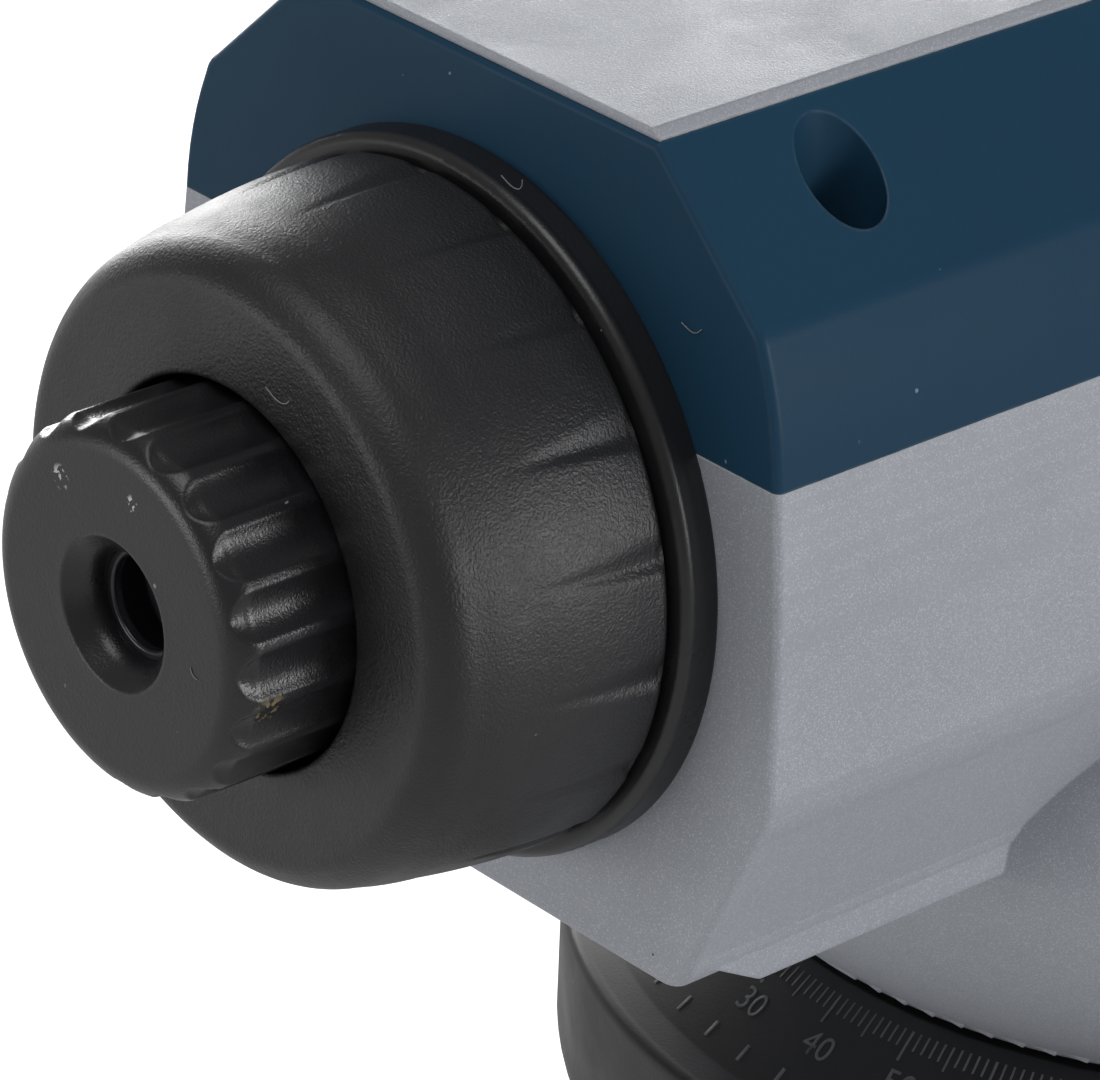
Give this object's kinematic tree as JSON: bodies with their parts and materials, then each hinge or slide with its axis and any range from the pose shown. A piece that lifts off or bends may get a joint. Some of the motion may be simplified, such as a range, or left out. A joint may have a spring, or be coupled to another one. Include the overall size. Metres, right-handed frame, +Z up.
{
  "type": "automatic level",
  "caption": "Surveyor's self-levelling telescope with black eyepiece cover, two-tone housing, graduated circle, fine drive and tribrach on foot screws.",
  "frame": {"origin": "centre of the tripod plate's underside, on the vertical axis and the tripod thread", "axes": "+Z up along the vertical axis, +Y along the telescope towards the objective, +X towards the focusing knob"},
  "size_m": [0.1354, 0.2162, 0.148],
  "materials": {
    "cast_plate": "cast, painted silver grey",
    "spring_steel": "bright",
    "screw_steel": "bright",
    "steel": "turned",
    "brass": "turned",
    "black_paint": "satin black",
    "black_plastic": "fine spark-eroded grain",
    "gloss_black": "smooth",
    "blue_paint": "satin petrol blue",
    "silver_paint": "satin silver with fine grain",
    "black_anodised": "black anodised",
    "rubber": "ribbed",
    "glass": "coated",
    "liquid": "clear yellow green",
    "mirror": "silvered",
    "wire": "drawn"
  },
  "bodies": {
    "base": {"base_plate": "cast_plate", "spring_plate": "spring_steel", "spring_plate_screws": "screw_steel"},
    "cradle": {"cradle_shoes": "brass"},
    "tribrach": {"tribrach_body": "cast_plate", "foot_keepers": "spring_steel", "spindle": "steel", "axis_fastenings": "screw_steel", "friction_springs": "spring_steel"},
    "circle": {"horizontal_circle": "black_paint"},
    "worm": {"worm_shaft": "steel", "drive_knobs": "black_plastic"},
    "wheel": {"worm_wheel": "brass"},
    "focus": {"focus_shaft": "steel", "focus_knob": "black_plastic", "focus_grip": "rubber"},
    "cell": {"focus_cell": "brass", "focus_lens": "glass"},
    "eyepiece": {"eyepiece_barrel": "black_anodised", "eye_lenses": "glass", "eyepiece_rings": "black_anodised"},
    "diopter": {"diopter_ring": "gloss_black"},
    "pendulum": {"pendulum": "brass", "pendulum_prism": "glass"},
    "button": {"check_button": "black_plastic"},
    "mirror": {"mirror_frame": "black_plastic", "mirror_glass": "mirror"},
    "stud_a": {"foot_stud_a": "steel"},
    "knob_a": {"foot_knob_a": "black_plastic"},
    "stud_b": {"foot_stud_b": "steel"},
    "knob_b": {"foot_knob_b": "black_plastic"},
    "stud_c": {"foot_stud_c": "steel"},
    "knob_c": {"foot_knob_c": "black_plastic"},
    "upper": {"bearings": "brass", "upper_housing": "blue_paint", "lower_housing": "silver_paint", "top_plate": "silver_paint", "cover_screws": "screw_steel", "small_screws": "screw_steel", "sights": "black_plastic", "nose_ring": "silver_paint", "objective_tube": "black_anodised", "objective_hood": "black_paint", "objective_lens": "glass", "objective_rings": "black_anodised", "focus_tube": "black_anodised", "tube_bracket": "black_anodised", "compensator_frame": "black_anodised", "compensator_springs": "wire", "fixed_prisms": "glass", "reticle_holder": "black_anodised", "reticle_glass": "glass", "eyepiece_flange": "black_plastic", "eyepiece_cover": "black_plastic", "eyepiece_sleeve": "black_anodised", "level_holder": "black_plastic", "level_vial": "glass", "level_liquid": "liquid", "mirror_bracket": "black_plastic"}
  },
  "joints": [
    {"name": "level_pitch", "type": "hinge", "parent": "base", "child": "cradle", "pos_m": [0, 0.02, 0.006], "axis": [1, 0, 0], "range_deg": [-1.59, 1.59]},
    {"name": "level_roll", "type": "hinge", "parent": "cradle", "child": "tribrach", "pos_m": [0, 0, 0.006], "axis": [0, 1, 0], "range_deg": [-1.55, 1.55]},
    {"name": "foot_screw_a_turn", "type": "hinge", "parent": "tribrach", "child": "knob_a", "pos_m": [0, -0.04, 0.016], "axis": [0, 0, 1], "range_deg": [-800, 800]},
    {"name": "foot_screw_a_travel", "type": "slide", "parent": "tribrach", "child": "stud_a", "axis": [0, 0, 1], "range_m": [-0.0017, 0.0017]},
    {"name": "foot_screw_b_turn", "type": "hinge", "parent": "tribrach", "child": "knob_b", "pos_m": [0.03464, 0.02, 0.016], "axis": [0, 0, 1], "range_deg": [-450, 450]},
    {"name": "foot_screw_b_travel", "type": "slide", "parent": "tribrach", "child": "stud_b", "axis": [0, 0, 1], "range_m": [-0.00095, 0.00095]},
    {"name": "foot_screw_c_turn", "type": "hinge", "parent": "tribrach", "child": "knob_c", "pos_m": [-0.03464, 0.02, 0.016], "axis": [0, 0, 1], "range_deg": [-450, 450]},
    {"name": "foot_screw_c_travel", "type": "slide", "parent": "tribrach", "child": "stud_c", "axis": [0, 0, 1], "range_m": [-0.00095, 0.00095]},
    {"name": "circle_turn", "type": "hinge", "parent": "tribrach", "child": "circle", "pos_m": [0, 0, 0.048], "axis": [0, 0, 1], "continuous": true},
    {"name": "azimuth", "type": "hinge", "parent": "tribrach", "child": "upper", "pos_m": [0, 0, 0.08], "axis": [0, 0, 1], "continuous": true},
    {"name": "fine_drive_turn", "type": "hinge", "parent": "upper", "child": "worm", "pos_m": [0, 0.02437, 0.066], "axis": [1, 0, 0], "continuous": true},
    {"name": "worm_wheel_turn", "type": "hinge", "parent": "upper", "child": "wheel", "pos_m": [0, 0, 0.066], "axis": [0, 0, 1], "continuous": true},
    {"name": "focus_turn", "type": "hinge", "parent": "upper", "child": "focus", "pos_m": [0.043, 0.006, 0.117], "axis": [1, 0, 0], "range_deg": [-260, 260]},
    {"name": "focus_travel", "type": "slide", "parent": "upper", "child": "cell", "axis": [0, 1, 0], "range_m": [-0.0136, 0.0136]},
    {"name": "eyepiece_travel", "type": "slide", "parent": "upper", "child": "eyepiece", "axis": [0, 1, 0], "range_m": [-0.00122, 0.00122]},
    {"name": "diopter_turn", "type": "hinge", "parent": "eyepiece", "child": "diopter", "pos_m": [0, -0.105, 0.11], "axis": [0, 1, 0], "range_deg": [-180, 180]},
    {"name": "pendulum_swing", "type": "hinge", "parent": "upper", "child": "pendulum", "pos_m": [0, -0.049, 0.126], "axis": [1, 0, 0], "range_deg": [-0.4, 0.4]},
    {"name": "check_button_press", "type": "slide", "parent": "upper", "child": "button", "axis": [1, 0, 0], "range_m": [0, 0.002], "stiffness_N_per_m": 250, "springref_m": -0.003},
    {"name": "mirror_fold", "type": "hinge", "parent": "upper", "child": "mirror", "pos_m": [-0.044, 0.0254, 0.1074], "axis": [1, 0, 0], "range_deg": [-45, 36]}
  ],
  "couplings": [
    {"joint": "foot_screw_a_turn", "follows": "level_pitch", "ratio": -502.65},
    {"joint": "foot_screw_a_travel", "follows": "level_pitch", "m_per_rad": 0.06},
    {"joint": "foot_screw_b_turn", "follows": "level_roll", "ratio": -290.21},
    {"joint": "foot_screw_b_travel", "follows": "level_roll", "m_per_rad": 0.034641},
    {"joint": "foot_screw_c_travel", "follows": "level_roll", "m_per_rad": -0.034641},
    {"joint": "foot_screw_c_turn", "follows": "level_roll", "ratio": 290.21},
    {"joint": "worm_wheel_turn", "follows": "fine_drive_turn", "ratio": 0.015625},
    {"joint": "focus_turn", "follows": "focus_travel", "rad_per_m": 333.33},
    {"joint": "diopter_turn", "follows": "eyepiece_travel", "rad_per_m": 2564.1}
  ]
}
